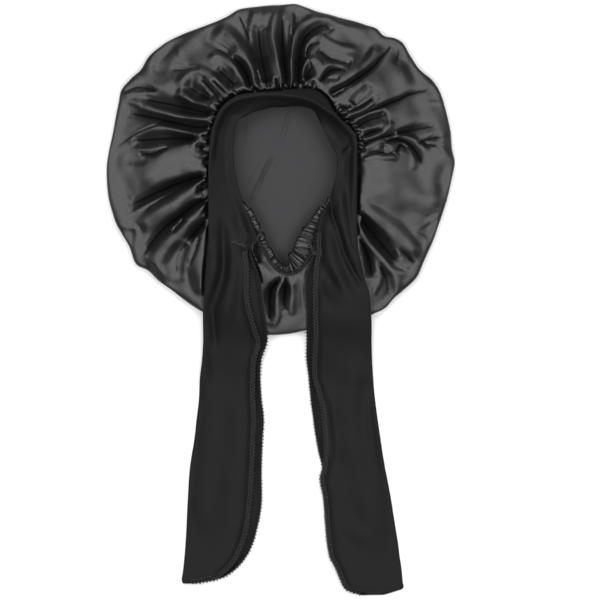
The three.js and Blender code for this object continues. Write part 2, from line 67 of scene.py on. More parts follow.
# Its inside: one column for every three outside, and rings round the outline as insets and heights. The
# floor is the crown's far side, seen through the opening.
SATIN_THICK = 0.9
INSIDE_EVERY = 3
INSIDE_RINGS = [(3.0, 6.0), (1.2, 4.2), (1.5, 2.4), (4.0, 1.1)]
FLOOR_SHARES = np.concatenate([np.linspace(1, 0.45, 6)[:-1], np.linspace(0.45, 0.01, 34)])

# How far a fold spreads for its half width, how steep it may be, and how it fades at its tips. A trough
# is the shallow hollow round a valley, and a pinch draws the cloth in to a valley's bottom.
RIDGE_SPREAD = 2.5
VALLEY_SPREAD = 1.9
VALLEY_WIDER = 1.7
TROUGH_SPREAD = 2.2
TROUGH_WIDER = 5
TROUGH_SHARE = 0.16
STEEPEST_RIDGE = 0.3
STEEPEST_KNIT = 0.8
STEEPEST_VALLEY = 1.4
FULL_WIDTH = 2.2
PINCH = 0.75
TIP_FADE = 1.3
SMALL_TIP_FADE = 6
FREE_TIP_SHARE = 0.15
FOLD_FADE = 9
FULL_VALLEYS = 13
GATHER_HEIGHT = 0.8

# Soft random waves of the cloth: their height, their seed, how many, the shortest and the longest.
GATHER_WAVES = (0.7, 31, 5, 20, 50)
LONG_WAVES = (0.7, 5, 7, 35, 70)
SHORT_WAVES = (0.18, 6, 9, 14, 26)
EDGE_WAVES = (1.1, 41, 9, 24, 50)
KNIT_WAVES = (0.5, 21, 8, 28, 80)

# The crown's outline from above: x, y.
OUTLINE = [
    (-153, 3), (-152, -19), (-149, -34), (-140, -57), (-133, -69), (-127, -84), (-116, -90),
    (-106, -100), (-92, -110), (-68, -126), (-49, -136), (-29, -142), (-11, -146), (8, -145),
    (24, -142), (43, -139), (63, -135), (79, -129), (92, -123), (100, -114), (119, -96),
    (123, -89), (128, -77), (135, -62), (141, -44), (147, -25), (151, -8), (153, 6),
    (150, 18), (149, 34), (145, 53), (140, 68), (133, 78), (122, 88), (114, 100),
    (107, 111), (100, 115), (91, 117), (84, 124), (73, 127), (59, 131), (33, 138),
    (21, 143), (13, 145.5), (0, 144), (-27, 142), (-37, 140), (-47, 134), (-71, 124),
    (-97, 114), (-107, 107), (-116, 98), (-123, 87), (-132, 79), (-140, 69), (-142, 59),
    (-148, 31), (-151, 18),
]

# The seam round the opening from above: x, y.
SEAM = [
    (-52, -3), (-50, -17), (-43, -29), (-31, -42), (-24, -56), (-17, -71), (-9, -84),
    (-2, -91), (6, -94), (15, -92), (23, -84), (28, -76), (31, -65), (34, -54),
    (39, -42), (47, -32), (56, -19), (59, -4), (59, 12), (57, 25), (50, 36),
    (39, 47), (28, 54), (17, 58), (4, 59), (-11, 58), (-25, 56), (-36, 52),
    (-44, 44), (-49, 34), (-51, 21),
]

# The folds of the crown's upper layer. Each is a height (a valley's is negative), its half width at the
# start, middle and end, and the points that its curve passes through in plan.
FOLDS = [
    # top left
    (4.5, 2, 2.5, 2.5, (-64, 92), (-53, 99.5), (-38, 86), (-30.5, 74), (-42, 62.5)),
    (1.5, 1.2, 1.5, 1.2, (-63, 87), (-54, 77), (-45, 66)),
    (5, 3, 2.5, 2.5, (-44, 61.5), (-56, 73), (-66, 84), (-79, 84.5), (-91, 70)),
    (5, 4, 4, 3.5, (-51, 55), (-75, 56), (-91, 70)),
    (1.5, 4, 3.5, 3, (-91, 70), (-103, 73), (-115, 83), (-114, 97), (-95, 113)),
    (-6.5, 2.5, 5, 3, (-57, 89), (-48, 81), (-39, 71)),
    (-3.5, 1, 1.5, 1, (-60, 78), (-54, 72), (-47, 65)),
    (-7.5, 5, 6.5, 3, (-85, 75), (-74, 67), (-57, 58)),
    (-3.5, 1.5, 2.5, 2, (-70, 79), (-62, 70), (-53, 60)),
    (-9, 3, 6.5, 4, (-56, 46.5), (-90, 55), (-124, 62)),
    (-6, 1.5, 3.2, 1, (-138, 67.5), (-125, 71.5), (-107, 67)),
    (5, 2, 2.5, 2, (-55, 42.5), (-97, 48), (-139, 62)),
    (2.5, 2, 1.5, 1, (-139, 63), (-128, 66), (-109, 66)),
    (-8, 2, 3.5, 3.5, (-137, 50), (-110, 44), (-85, 38), (-72, 36), (-60, 37)),
    (-2.5, 0.8, 1, 1, (-150, 17), (-128, 30), (-103, 41)),
    (4.5, 2, 2.5, 2, (-60, 30), (-76, 29.5), (-90, 33), (-112, 35), (-140, 21)),
    (-9, 3, 6, 1, (-131, 24), (-106, 26), (-70, 26.5)),
    (2.5, 1, 1.5, 1, (-132, 18.5), (-116, 16), (-101, 18.5)),
    (-4, 1, 2, 1, (-125, 13), (-113, 12.5), (-98, 19)),
    (-1.5, 2, 3, 2, (-138, 8), (-128, 7.5), (-115, 8)),
    (-5, 2, 2, 1.5, (-60, 28), (-65, 28), (-70, 28.5)),
    (-7, 4, 4, 2, (-60, 18), (-67, 18), (-75, 20)),
    (2.5, 1, 1.5, 1.5, (-60, 22.5), (-74, 23), (-78, 17), (-75, 12), (-68, 11)),
    (-2, 3, 5, 4, (-107, 80), (-105, 97), (-90, 112)),
    (-2.5, 0.6, 1.2, 0.6, (-97, 88), (-85, 87.5), (-70, 88.5)),
    (0.8, 1, 1.5, 1, (-90, 108), (-88, 98), (-81, 92)),
    (-3.5, 4, 6, 4, (-70, 117), (-56, 111), (-39, 100)),
    # top
    (4.5, 6, 4.5, 2.5, (-60, 125), (-46, 114), (-31, 97), (-26, 84), (-19, 67)),
    (-9, 1.5, 3, 2, (-43, 98), (-33, 89), (-26, 70)),
    (-3.5, 2, 1.5, 1, (-39, 139), (-33, 127), (-26, 109)),
    (2, 2.5, 2, 1.5, (-21, 141), (-25, 128), (-27, 112)),
    (-1.5, 3, 2.5, 1, (-31, 136), (-29, 128), (-29, 120)),
    (-10, 5, 7, 3, (-20, 128), (-18, 105), (-11, 69)),
    (3, 1.5, 2, 2, (-22, 100), (-17, 86), (-13, 68)),
    (-3, 1, 2, 1.5, (-21, 88), (-19.5, 80), (-18, 71)),
    (4, 1.8, 1.8, 1.5, (-6, 67), (-6.5, 76), (-4, 83)),
    (-4, 1, 1.5, 1.5, (-4, 80), (-3.5, 74), (-3, 67)),
    (5.5, 2, 2.7, 2, (-1, 67), (1.5, 80), (-2, 97), (-7, 118), (-1, 138), (8, 143)),
    (-9, 1.5, 3.2, 1.7, (2, 137), (1.5, 116), (3, 95), (5, 82), (5, 67)),
    (-2, 1.5, 2, 1.5, (5, 130), (6, 112), (6, 95)),
    (2, 1, 1.3, 1, (10, 141), (10, 126), (6.5, 100)),
    (-2.5, 1, 1.3, 0.8, (14.5, 137), (12.5, 126), (8.5, 116)),
    (5.5, 3, 2.8, 2, (9, 68), (9.5, 90), (13, 111), (21, 126), (38, 133.5), (52, 127), (70, 120)),
    (-10, 2.8, 3.5, 3, (16, 69), (16.5, 88), (18.5, 108), (25, 120), (38, 126), (46, 118)),
    (4, 1.5, 1.8, 2, (20, 95), (21, 108), (31, 117), (45, 109.5), (55, 106), (70, 106)),
    (-3.5, 1, 1.5, 1.5, (22.5, 97), (24.5, 107), (34, 112.5)),
    (-4, 2.5, 3.3, 2.5, (32, 106), (45, 97.5), (63, 91)),
    (4.5, 1.8, 1.8, 1.8, (18, 76), (20, 89), (28, 95.5), (34, 92), (36, 85)),
    (-9, 4, 4.5, 2.2, (30, 90), (25, 86), (23, 75)),
    (3.5, 1.5, 1.8, 1.2, (25, 73), (27, 80), (30, 83)),
    (-5, 1.5, 2, 2.5, (29, 78), (28.5, 74), (30, 69)),
    # top right
    (3.5, 1.5, 1.8, 1, (34, 76), (41, 89), (52, 91), (63, 84)),
    (-6, 1.5, 2.5, 1, (34, 76), (44, 86), (57, 86.5)),
    (-1.5, 0.8, 1, 0.8, (40, 78.5), (46, 78), (52, 78)),
    (4.5, 3.5, 3.5, 3, (36, 73), (53, 75), (72, 90), (81, 99), (88, 110)),
    (-1.5, 2.5, 3, 2.5, (65, 88), (72, 97), (77, 113)),
    (-7, 1.8, 1.8, 1.5, (42, 65), (60, 74), (80, 88), (89, 98), (101, 112)),
    (-5, 1.2, 1.2, 0.8, (45, 62), (52, 66.5), (60, 72.5)),
    (-4, 1, 2, 1, (101, 91), (103, 98), (106, 108)),
    (1.5, 1, 1.5, 1, (112, 90), (110, 99), (108, 109)),
    (2.5, 6, 8, 8, (62, 66), (90, 76), (118, 84)),
    (-3, 2.5, 3.5, 2.5, (80, 73), (72, 65), (62, 55)),
    (-5, 2, 1.8, 1, (50, 53.5), (57, 52.5), (64, 54)),
    (-5, 1.5, 1.7, 1, (58, 48.5), (70, 53.5), (83, 62)),
    (4, 2, 2, 2, (56, 46), (73, 53), (88, 67)),
    (-8, 1.3, 1.8, 1.5, (56, 41), (80, 50.5), (104, 60.5), (116, 66), (137, 70)),
    (3, 2, 2, 2, (62, 42), (80, 49.5), (95, 52)),
    (2, 1, 1.2, 1, (128, 57.5), (136, 58), (143, 58)),
    (-6, 1.5, 4.5, 4, (64, 34), (78, 42), (95, 47)),
    # right
    (-6, 1.2, 2, 1.5, (68, 26), (78, 30.5), (90, 35)),
    (3.5, 2, 2, 2, (70, 24.5), (88, 30), (99, 42)),
    (-6, 1.5, 1.4, 2, (70, 19), (84, 25.5), (103, 30.5)),
    (-6, 1.5, 4, 3, (100, 30.5), (120, 34), (137, 38)),
    (4.5, 2, 2, 2, (72, 17), (88, 26), (104, 28.5), (118, 24), (132, 11)),
    (-8, 1.5, 1.9, 2, (90, 22), (103, 25.5), (114, 21), (120, 14), (127, 4)),
    (3, 1, 1.3, 2, (100, 18), (106, 23.5), (113.5, 19), (117, 10), (117, -3)),
    (-5, 1.5, 2.2, 1.5, (101, 13), (106, 20), (112, 17.5)),
    (-3, 1.5, 2.5, 2, (93, 22), (91, 17), (94, 11)),
    (-4, 0.8, 1.2, 1.2, (70, 10), (84, 13.8), (102, 13)),
    (3.5, 1.5, 2, 2, (70, 7.5), (84, 10.5), (104, 10)),
    (1.5, 7, 8, 6, (60, -14), (100, -19), (145, -30)),
    (1.2, 1, 1.6, 1.2, (108, -21), (119, -29), (133, -35), (139, -40), (128, -48), (116, -55)),
    (1.2, 1, 1.4, 1.2, (116, -55), (127, -62), (128, -70), (127, -84)),
    (2, 4, 4, 3, (68, -18), (71, -27), (73, -37)),
    (-1, 3, 4, 3, (124, -14), (129, -19), (134, -25)),
    (3, 1.5, 1.3, 1.2, (146, 43), (150, 34), (145, 27), (137, 22.5), (142, 15.5), (152, 8.5)),
    (2, 0.8, 1.2, 1, (141, 34), (132, 31), (126, 23)),
    (-5, 1.2, 2, 1, (120, 22), (134, 26.5), (141, 29.5)),
    (-4, 1, 1.5, 1, (126, 23), (134, 20), (139, 17.5)),
    (-2.5, 0.8, 0.8, 0.8, (137, 18.5), (144, 12), (152, 7.5)),
    (-4, 2.5, 2.5, 1.5, (144, 24), (147, 18), (150, 13)),
    # lower right
    (2.5, 4, 5, 3, (69, -33), (98, -53.5), (123, -77)),
    (-11, 2, 5.5, 4, (67, -38), (82, -58), (104, -84)),
    (-7, 1, 2, 2, (103, -70), (111, -77), (120, -84)),
    (4, 1, 1.5, 1.5, (102, -70), (106, -82), (114, -88)),
    (5.5, 1.5, 2.3, 2.5, (68, -46), (77, -62), (90, -79), (99, -90), (114, -93.5)),
    (-10, 1, 2.3, 4, (67, -58), (77, -77), (81, -97)),
    (4, 1, 1.5, 1.5, (67.5, -62), (72, -75), (74, -95)),
    (-6, 1, 2.5, 2.8, (86, -82), (93, -98), (95, -117)),
    (2.5, 1.5, 2, 1.5, (89, -90), (86, -100), (80, -112)),
    (2, 2, 2.5, 2, (96, -86), (102, -98), (103, -112)),
    # lower left
    (1.2, 7, 10, 6, (-72, 12), (-98, 7), (-124, -13)),
    (-11, 2.5, 4.5, 5, (-64, -5.5), (-97, -16), (-136, -34)),
    (1.8, 0.8, 1.2, 1, (-72, -10), (-102, -22), (-139, -45)),
    (-2.5, 0.8, 1.8, 1, (-82, -14.5), (-96, -22), (-121, -37)),
    (4.5, 1.5, 5.5, 4, (-65, -8), (-92, -29), (-126, -54)),
    (-8, 5, 5, 2, (-61, -16), (-67, -19), (-75, -20)),
    (-9, 2, 2.9, 3, (-61, -27), (-74, -31), (-88, -42), (-104, -54), (-122, -76)),
    (-5, 2.5, 2.5, 1.5, (-84, -42), (-89, -49), (-95, -56)),
    (2, 1, 1.5, 1.5, (-92, -46), (-105, -59), (-121, -82)),
    (4.5, 3, 5, 4, (-63, -31), (-84, -50), (-105, -75), (-107, -88), (-92, -103)),
    (-8, 2, 2.5, 2.5, (-61, -42), (-71, -52), (-82, -64)),
    (-4, 3, 6, 4, (-82, -64), (-91, -78), (-91, -98)),
    (1.8, 1, 1.5, 1.5, (-77, -66), (-83, -80), (-85, -101)),
    (-2.5, 1.2, 1.5, 0.8, (-71, -58), (-75, -72), (-81, -87)),
    (3.5, 2.5, 6, 4, (-65, -48), (-70, -80), (-68, -114)),
    (2, 1.5, 2, 1.5, (-147, -36), (-142, -50), (-127, -53), (-127, -66), (-126, -82)),
    # between the ties
    (-6, 2.5, 3.5, 2.5, (-24, -61), (-21, -72), (-18, -84)),
    (-9, 1, 3.4, 1.5, (3, -94), (-7, -105), (-9.5, -115), (-9.3, -124), (-10, -136)),
    (4.5, 1, 1.8, 2, (3, -94), (-3.5, -106), (-4, -120), (-3, -130), (-9, -141)),
    (-8, 1, 2.8, 1, (5, -94), (4.5, -104), (3.5, -116), (4, -127)),
    (1, 2, 2, 2, (10, -98), (9.5, -115), (10, -130)),
]

# Small pleats in the crown's far side, seen through the opening, with the columns of the table of folds.
FLOOR_FOLDS = [
    (-2.5, 0.5, 0.95, 0.4, (-6.5, 13), (-9, 8), (-16, -6), (-26, -30)),
    (-0.8, 0.4, 0.6, 0.4, (8, 52), (5, 40), (-1, 20)),
    (-0.7, 0.5, 0.8, 0.5, (-30, 40), (-28, 30), (-31, 20)),
    (-0.5, 0.5, 0.7, 0.5, (-17, 8), (-22, -4), (-27, -14)),
]

# Folds of the tie band's knit, with the same columns.
KNIT_FOLDS = [
    (
        1.8, 1.8, 1.8, 1.8, (-60.5, 2), (-59.5, 16), (-55.5, 37), (-45, 54.5), (-25, 62), (1, 62.5),
        (22, 59), (41.5, 48.5), (58.5, 33), (64, 23), (64, -10), (64, -60), (68.5, -100),
    ),
    (-2.2, 4, 6, 3, (-52, 28), (-43, 42), (-28, 50), (-10, 52.5)),
    (-3, 2, 3.4, 1.5, (-51, -40), (-49.5, -85), (-54, -107), (-60, -120), (-59, -133), (-56.5, -165)),
    (3, 3, 4, 3, (-60, -60), (-58, -85), (-64, -115)),
    (3, 3, 5, 3, (-42, -60), (-41, -90), (-46, -115), (-48, -150)),
    (-1.5, 2, 3, 2, (-38, -30), (-34, -52), (-26, -66)),
    (-3, 1.2, 2, 1.5, (44, -14), (44, -30), (45.5, -41), (50.4, -54), (56.6, -76), (63, -89), (74, -107)),
    (3.5, 2, 3.5, 2, (52, -5), (53, -38), (59, -66), (67, -88)),
    (2.6, 1, 1.6, 1.2, (66, 23), (59, 16), (50, 6)),
    (-3.5, 3, 5.5, 3, (30, 49), (41, 37), (55, 15)),
    (-3, 3, 4.5, 2, (39, -46), (43, -70), (48, -89), (65, -118)),
    (3, 3, 4.5, 3, (36, -75), (41, -98), (55, -125)),
    (-1, 1.2, 1.5, 1, (35, -203), (36.5, -225), (39, -251)),
    (1.8, 2, 2.5, 2, (40, -196), (44, -230), (47, -262)),
    (3, 6, 9, 6, (-75, -165), (-55, -215), (-62, -300), (-44, -345)),
    (2.6, 5, 8, 6, (72, -150), (60, -215), (78, -290), (84, -355)),
    (2.6, 2, 4, 2, (-72, -138), (-67, -175), (-69, -225)),
    (2.6, 3, 5, 3, (87, -170), (82, -225), (90, -290)),
    (2, 3, 5, 3, (-78, -330), (-62, -318), (-45, -290)),
    (2, 3, 5, 3, (52, -300), (72, -322), (98, -330)),
]

# The tie band is one knit strip folded in half along its outer edge. Its leaves curl up at their edges.
LEAF = 1.1
LEAF_GAP = 0.8
STACK = 2 * LEAF + LEAF_GAP
EDGE_CURL = 3.2
EDGE_CURL_REACH = 9
FULL_CURL = 20
BACK_CURL = 1.8
BACK_CURL_REACH = 5

# Sections of the left tie, from its free end up. Across at y: the fold, the edge of the front leaf and
# the edge of the back leaf, with the height of the strip's underside.
LEFT_TIE = [
    (-365, -86, -81, -78, 0), (-363, -87, -68, -64, 0), (-360, -87, -57, -52, 0),
    (-354, -86, -48, -42, 0), (-345, -85, -40, -33, 0), (-333, -84, -34, -26, 0),
    (-317, -83, -29, -21, 0), (-295, -82, -26, -17, 0), (-264, -80, -24, -17, 0),
    (-238, -76, -23, -16, 0), (-220, -74, -22, -15, 0), (-203, -72, -23, -17, 0),
    (-184, -71, -23, -18, 2), (-168, -69, -22, -17, 5.5), (-153, -68, -18, -12, 10),
    (-142, -68, -21, -12, 14), (-128, -68, -25, -14, 18.5), (-114, -67, -28, -16, 21.5),
    (-98, -66, -28, -18, 24), (-85, -65, -28, -22, 26), (-73, -64, -29, -26, 26),
]

# Sections of the band from the left tie round the top of the opening to the right tie: the fold, the
# sewn edge, the heights of both on top, and how far the outer leaf bulges out past the fold.
BAND = [
    (-63, -62, -21, -61, 31, 27, 0), (-63, -49, -25, -49, 33, 27, 0), (-63, -34, -31, -34, 34, 27, 0),
    (-63, -19, -36, -19, 35, 27, 0), (-63, -1, -40, -1, 35, 27, 0), (-62, 16, -41, 16, 35, 27, 0),
    (-61, 28, -40, 28, 35, 27, 0), (-58, 39, -39, 36, 36, 26, 0), (-54, 49, -36, 42, 36, 26, 0),
    (-47, 57, -31, 45, 37, 26, 0), (-37, 63, -23, 49, 38, 26, 0), (-26, 65, -15, 51, 38, 26, 0),
    (-13, 66, -7, 53, 38, 26, 0), (1, 66, 2, 53, 38, 26, 1), (15, 64, 13, 54, 38, 26, 5),
    (26, 61, 22, 53, 38, 26, 8), (35, 56, 29, 50, 38, 26, 7), (44, 50, 34, 41, 37, 26, 2),
    (53, 42, 39, 30, 36, 26, 0), (61, 35, 44, 20, 36, 26, 0), (66, 28, 49, 12, 35, 27, 0),
    (67, 18, 50, 6, 35, 27, 0), (67, 5, 49, -5, 35, 28, 0), (67, -12, 46, -16, 35, 28, 0),
]

# Sections of the right tie, from the band down to its free end, with the columns of the left tie.
RIGHT_TIE = [
    (-32, 67, 42, 41, 27), (-40, 67, 36, 35, 27), (-50, 67, 33, 32, 27), (-63, 67.5, 32, 30, 26),
    (-74, 68.5, 32, 29, 26), (-85, 71, 30, 25, 26), (-98, 74, 29, 22, 24.5), (-111, 78, 29, 22, 22.3),
    (-128, 79.5, 29, 23, 18.5), (-140, 80, 29.5, 23, 14.3), (-151, 80, 29.5, 23, 10.5),
    (-168, 80.5, 28.5, 23, 5.5), (-184, 81.5, 29, 25, 2), (-196, 82.5, 32.5, 26, 0),
    (-213, 84.5, 36, 28, 0), (-234, 87.5, 38, 31, 0), (-251, 90, 38.5, 34, 0), (-263, 92, 37.5, 37, 0),
    (-273, 94, 35, 36, 0), (-289, 97, 38, 39, 0), (-308, 100, 39.5, 41, 0), (-330, 103.5, 41.5, 43, 0),
    (-342, 105, 44, 45, 0), (-352, 106.5, 49, 50, 0), (-363, 107.5, 53.5, 54.5, 0),
    (-369, 108, 57, 58, 0), (-372, 101, 63, 64, 0), (-375, 91, 72, 73, 0),
]

# The overlock stitching of the cut edges, from each tie's free end up, counted in rows of sections. In
# each stitch a thread takes four places: in on the leaf, towards its edge, over the edge and back.
STITCH_PITCH = 3.0
STITCH_PLACES = 4
STITCH_FROM = 0.2
LEFT_STITCHED = 20
RIGHT_STITCHED = 24.5
FRONT_STITCH_DEPTH = 2.6
BACK_STITCH_DEPTH = 1.4
STITCH_OVER = 0.9
THREAD = 0.36
EDGE_THREAD = 0.5
LOOP_SLOT = 0
EDGE_SLOT = 1

# The threads along the casing: depth, height and material slot.
CASING_STITCHES = [(3.4, 0.9, EDGE_SLOT), (2.2, 1.3, LOOP_SLOT)]

# The loose tails of overlock thread where the casing meets each tie: their middle lines in space.
THREAD_TAILS = [
    [
        (-43, -65, 30.2), (-40, -64, 30.2), (-36, -66.5, 30.1), (-31, -68.5, 30.1), (-26, -66.5, 29.8),
        (-22, -62.5, 29.1), (-18.5, -58, 26.8), (-17.5, -53, 25.2),
    ],
    [
        (22, -58, 26), (25, -65, 26.6), (28, -71, 27.8), (31, -75.5, 29.8), (34.5, -75, 30.3),
        (34.5, -71, 30.3),
    ],
]
TAIL_STRANDS = 9

# The gathered casing along the nape, between two places on the seam, counted in rows of its table.
NAPE_FROM = 2.4
NAPE_TO = 15.2
SEAM_STEPS = 20
NAPE_STEPS = 420
NAPE_SIDES = 28
NAPE_GAP = 0.4
NAPE_MIDDLE_HEIGHT = 20.2
NAPE_HALF_HEIGHT = 2.9
NAPE_HALF_WIDTH = 3.8
NAPE_SPREAD = 5
NAPE_PUCKER = 1.3

# The softboxes on each of four sides: a name, the distance out, the height, the size and the power.
SOFTBOXES = [
    ("softbox_", 0.9, 2.0, 0.8, 16),
    ("low_softbox_", 1.71, 1.7, 0.9, 5),
    ("side_softbox_", 2.43, 1.0, 0.9, 2.5),
]

# The camera, and how wide its picture is at a height, in metres.
CAMERA_PLACE = (0.0171, -0.1153, 3.0)
FRAME_WIDTH = 0.5262
FRAME_HEIGHT = 0.015


def smooth(low, high, value):
    """Nothing up to low and one from high on, with a smooth change between them."""
    share = np.clip((value - low) / (high - low), 0, 1)
    return share * share * (3 - 2 * share)


def mix(a, b, share):
    return a + (b - a) * share


def bell(share):
    """One in the middle of a fold, falling smoothly to nothing at its side."""
    return (1 - share**2) ** 2


def unit(vectors):
    return vectors / np.maximum(np.linalg.norm(vectors, axis=-1), 1e-9)[..., None]


def distances(line):
    """How far along a line of points each one lies."""
    return np.concatenate([[0], np.cumsum(np.linalg.norm(np.diff(line, axis=0), axis=1))])


def closed_curve(points, steps):
    """Points along a closed curve through points in plan, steps to a span."""
    p = np.array(points, float)
    p0, p1, p2, p3 = np.roll(p, 1, 0), p, np.roll(p, -1, 0), np.roll(p, -2, 0)
    d0, d1, d2 = (np.sqrt(np.linalg.norm(b - a, axis=1))[:, None] for a, b in ((p0, p1), (p1, p2), (p2, p3)))
    m1 = ((p1 - p0) / d0 - (p2 - p0) / (d0 + d1) + (p2 - p1) / d1) * d1
    m2 = ((p2 - p1) / d1 - (p3 - p1) / (d1 + d2) + (p3 - p2) / d2) * d1
    t = (np.arange(steps) / steps)[None, :, None]
    p1, p2, m1, m2 = p1[:, None], p2[:, None], m1[:, None], m2[:, None]
    curve = (
        (2 * t**3 - 3 * t**2 + 1) * p1
        + (t**3 - 2 * t**2 + t) * m1
        + (3 * t**2 - 2 * t**3) * p2
        + (t**3 - t**2) * m2
    )
    return curve.reshape(-1, p.shape[1])


def radius_around(points):
    """A closed curve through points as a function: the radius at an angle about the folds' centre."""
    away = closed_curve(points, steps=12) - FOLD_CENTRE
    angles = np.arctan2(away[:, 1], away[:, 0])
    radii = np.hypot(away[:, 0], away[:, 1])
    return lambda angle: np.interp(angle, angles, radii, period=2 * math.pi)


outline_radius = radius_around(OUTLINE)
seam_radius = radius_around(SEAM)


def waves(height, seed, count, shortest, longest):
    """A soft random relief in plan as a function of x and y, up to about height."""
    random = np.random.default_rng(seed)
    lengths = random.uniform(shortest, longest, count)
    turns = random.uniform(0, 2 * math.pi, count)
    phases = random.uniform(0, 2 * math.pi, count)

    def relief(x, y):
        total = 0
        for length, turn, phase in zip(lengths, turns, phases):
            total = total + np.sin(2 * math.pi * (x * math.cos(turn) + y * math.sin(turn)) / length + phase)
        return height * (total / math.sqrt(count))

    return relief


def through(p0, p1, p2, p3, t):
    """The place at t, from 0 to 1, on a smooth curve from p1 to p2."""
    return 0.5 * (
        2 * p1 + (p2 - p0) * t + (2 * p0 - 5 * p1 + 4 * p2 - p3) * t**2 + (3 * p1 - p0 - 3 * p2 + p3) * t**3
    )


def open_curve(points, steps):
    """Points along an open curve through points, steps to a span, and how far along each one lies."""
    p = np.array(points, float)
    p = np.vstack([2 * p[0] - p[1], p, 2 * p[-1] - p[-2]])
    t = (np.arange(steps) / steps)[None, :, None]
    curve = through(p[:-3, None], p[1:-2, None], p[2:-1, None], p[3:, None], t)
    curve = np.vstack([curve.reshape(-1, 2), p[-2]])
    return curve, distances(curve)


def nearest_on(curve, along, x, y):
    """The distance from each point to a curve, how far along it the nearest place is, and the way there."""
    nearest = np.full(x.shape, 1e9)
    place, way = 0, 0
    for a, b, start, stop in zip(curve, curve[1:], along, along[1:]):
        step = b - a
        u = np.clip(((x - a[0]) * step[0] + (y - a[1]) * step[1]) / (step @ step), 0, 1)
        there = a[0] + u * step[0] - x, a[1] + u * step[1] - y
        away = np.hypot(*there)
        closer = away < nearest
        nearest = np.where(closer, away, nearest)
        place = np.where(closer, mix(start, stop, u), place)
        way = np.where(closer, there, way)
    return nearest, place, way


def fold_height(x, y, table, fade, steepest_ridge, tip_share=0):
    """The heights that the ridges add and the valleys take away at each point, and how far the cloth is
    drawn in sideways, to the bottom of a valley.

    A fold fades at its tips over a millimetre and fade times its half width, or over a share of its
    length where the tip is away from the seam."""
    ridges, valleys, troughs = np.zeros((3, *x.shape))
    drawn = np.zeros((2, *x.shape))
    for height, first, half, last, *points in table:
        curve, along = open_curve(points, steps=6)
        reach = TROUGH_SPREAD * max(first, half, last) + TROUGH_WIDER + 1
        low, high = curve.min(axis=0) - reach, curve.max(axis=0) + reach
        close = (x > low[0]) & (x < high[0]) & (y > low[1]) & (y < high[1])
        away, place, way = nearest_on(curve, along, x[close], y[close])
        half_width = np.interp(place / along[-1], [0, 0.5, 1], [first, half, last])
        if height > 0:
            spread, steepest = RIDGE_SPREAD * half_width, steepest_ridge
        else:
            spread, steepest = VALLEY_SPREAD * half_width + VALLEY_WIDER, STEEPEST_VALLEY
        u = np.clip(away / spread, 0, 1)
        size = np.minimum(abs(height), steepest * np.clip(half_width / FULL_WIDTH, 0.3, 1) * spread)
        for tip, gap in ((0, place), (-1, along[-1] - place)):
            from_seam = np.hypot(*(np.array(SEAM) - curve[tip]).T).min()
            free_fade = tip_share * along[-1] * smooth(12, 24, from_seam)
            size = size * smooth(0, max(fade * half + 1, free_fade), gap)
        if height > 0:
            ridges[close] += (size * bell(u)) ** 3
        else:
            sharp = smooth(0.3, 0.7, size / spread)
            valleys[close] += (size * mix(bell(u), (1 - u) ** 2.6, sharp)) ** 3
            v = np.clip(away / (TROUGH_SPREAD * half_width + TROUGH_WIDER), 0, 1)
            from_tip = np.minimum(place, along[-1] - place)
            trough_fade = smooth(0, 4 * half + 6, from_tip)
            troughs[close] += (TROUGH_SHARE * size * bell(v) * trough_fade) ** 3
            pull = np.minimum(away, PINCH * (1 - smooth(PINCH, 4 * PINCH, away)))
            pull = pull * smooth(2, 4, size)
            stronger = pull > np.hypot(*drawn[:, close])
            drawn[:, close] = np.where(stronger, way * (pull / np.maximum(away, 1e-6)), drawn[:, close])
    return np.cbrt(ridges), np.cbrt(valleys) + np.cbrt(troughs), drawn


# Every section of the strip, with the same columns: fold, front edge and back edge in plan, the heights
# of the fold and of the front edge on top, and the bulge.
def tie_section(y, fold, front, back, lift):
    return (fold, y, front, y, back, y, lift + STACK, lift + STACK, 0)


def band_section(fold_x, fold_y, sewn_x, sewn_y, fold_top, sewn_top, bulge):
    back_x, back_y = mix(sewn_x, fold_x, 0.05), mix(sewn_y, fold_y, 0.05)
    return (fold_x, fold_y, sewn_x, sewn_y, back_x, back_y, fold_top, sewn_top, bulge)


SECTIONS = np.array(
    [tie_section(*row) for row in LEFT_TIE]
    + [band_section(*row) for row in BAND]
    + [tie_section(*row) for row in RIGHT_TIE],
    float,
)
LAST_SECTION = len(SECTIONS) - 1


def section_at(t):
    """The strip's sections at t, counted in rows, on a smooth curve through the rows."""
    rows = np.vstack([2 * SECTIONS[0] - SECTIONS[1], SECTIONS, 2 * SECTIONS[-1] - SECTIONS[-2]])
    i = np.clip(np.floor(t).astype(int), 0, LAST_SECTION - 1)
    return through(rows[i], rows[i + 1], rows[i + 2], rows[i + 3], (t - i)[:, None])


def cover_at(x, y):
    """One under the tie band, fading to nothing beside it, and the distance from the band."""
    s = section_at(np.linspace(0, LAST_SECTION, 260))
    bulge = unit(s[:, 0:2] - s[:, 2:4]) * s[:, 8:9]
    border = np.vstack([s[:, 0:2] + bulge, s[::-1, 4:6]])
    inside = np.zeros(x.shape, bool)
    nearest = np.full(x.shape, 1e9)
    for a, b in zip(np.roll(border, 1, 0), border):
        step = b - a
        if a[1] != b[1]:
            crossing = a[0] + (y - a[1]) / (b[1] - a[1]) * (b[0] - a[0])
            inside ^= ((a[1] > y) != (b[1] > y)) & (crossing > x)
        u = np.clip(((x - a[0]) * step[0] + (y - a[1]) * step[1]) / max(step @ step, 1e-9), 0, 1)
        nearest = np.minimum(nearest, np.hypot(x - a[0] - u * step[0], y - a[1] - u * step[1]))
    return np.where(inside, 1, 1 - smooth(0, COVER_FADE, nearest)), np.where(inside, 0, nearest)


